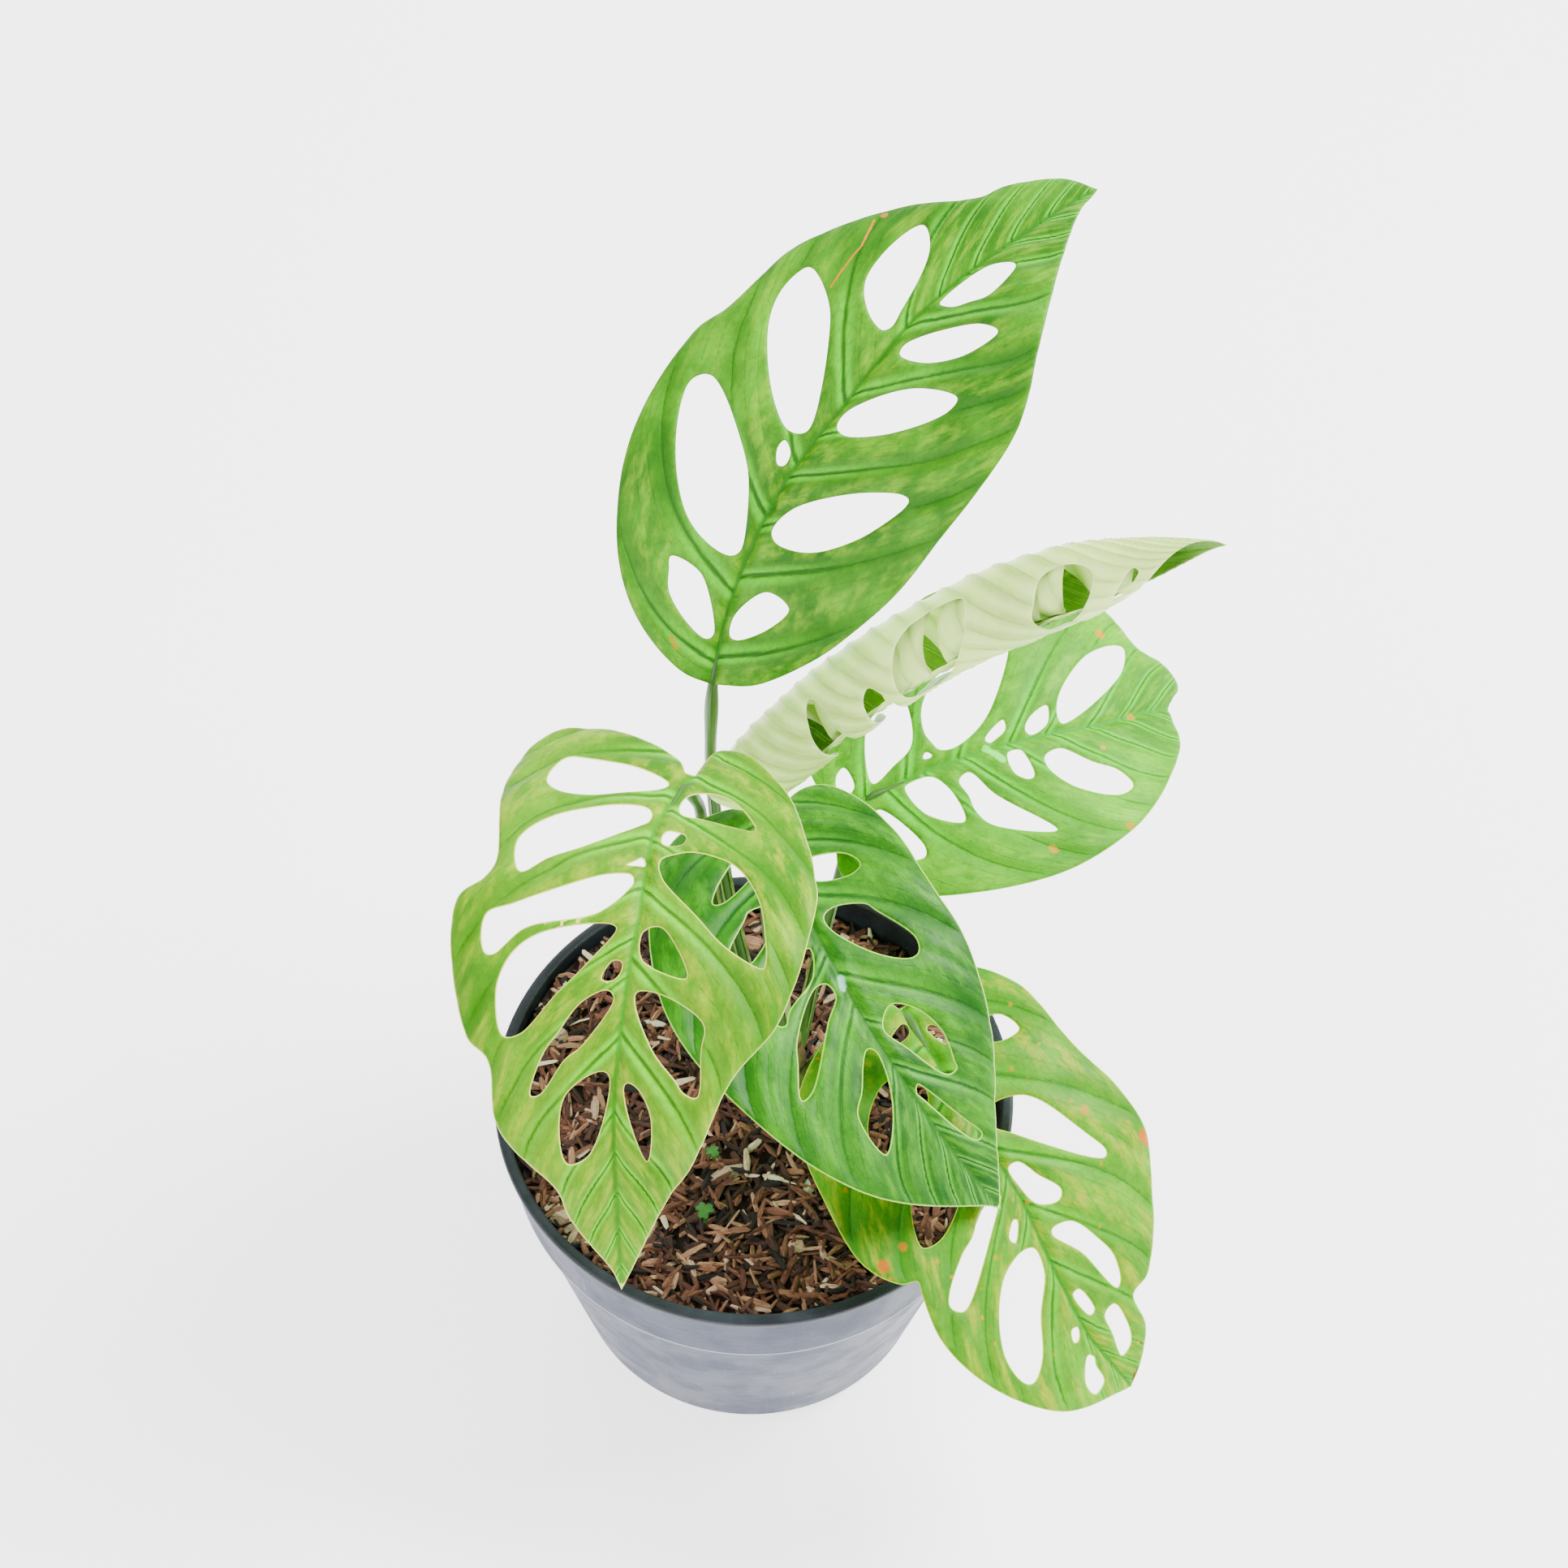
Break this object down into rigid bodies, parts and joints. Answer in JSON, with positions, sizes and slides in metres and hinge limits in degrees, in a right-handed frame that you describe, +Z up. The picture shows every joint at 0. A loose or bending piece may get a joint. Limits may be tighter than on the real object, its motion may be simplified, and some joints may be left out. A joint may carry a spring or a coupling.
{
  "type": "potted esqueleto monstera",
  "caption": "Young trailing aroid with long oval leaves cut by large windows, one leaf still rolled, growing in a tapered nursery pot filled with bark chips.",
  "frame": {"origin": "centre of the pot's underside, on the ground", "axes": "+Z up, +X to the right and -Y towards the viewer of the side that the two lowest leaves hang over"},
  "size_m": [0.2314, 0.2749, 0.3658],
  "materials": {
    "pot_plastic": "satin moulded plastic",
    "bark_mix": "rough moist bark and husk chips",
    "stem_green": "matt fibrous stem",
    "stalk_green": "smooth waxy stalk",
    "seedling_green": "soft matt leaflets",
    "leaf_mid_green": "waxy leaf with a soft sheen",
    "leaf_lime": "waxy leaf with a soft sheen",
    "leaf_deep_green": "waxy leaf with a soft sheen",
    "leaf_grey_green": "waxy leaf with a soft sheen",
    "leaf_mottled": "waxy leaf with a soft sheen",
    "leaf_pale_young": "waxy leaf with a soft sheen"
  },
  "bodies": {
    "root": {"pot": "pot_plastic", "potting_mix": "bark_mix", "stem_and_roots": "stem_green", "leaf_back_tall": "leaf_mid_green", "stalk_back_tall": "stalk_green", "leaf_front_left": "leaf_lime", "stalk_front_left": "stalk_green", "leaf_middle": "leaf_deep_green", "stalk_middle": "stalk_green", "leaf_back_right": "leaf_grey_green", "stalk_back_right": "stalk_green", "leaf_lower_right": "leaf_mottled", "stalk_lower_right": "stalk_green", "leaf_young_rolled": "leaf_pale_young", "stalk_young_rolled": "stalk_green", "clover_seedling_front": "seedling_green", "clover_seedling_inner": "seedling_green"}
  },
  "joints": []
}
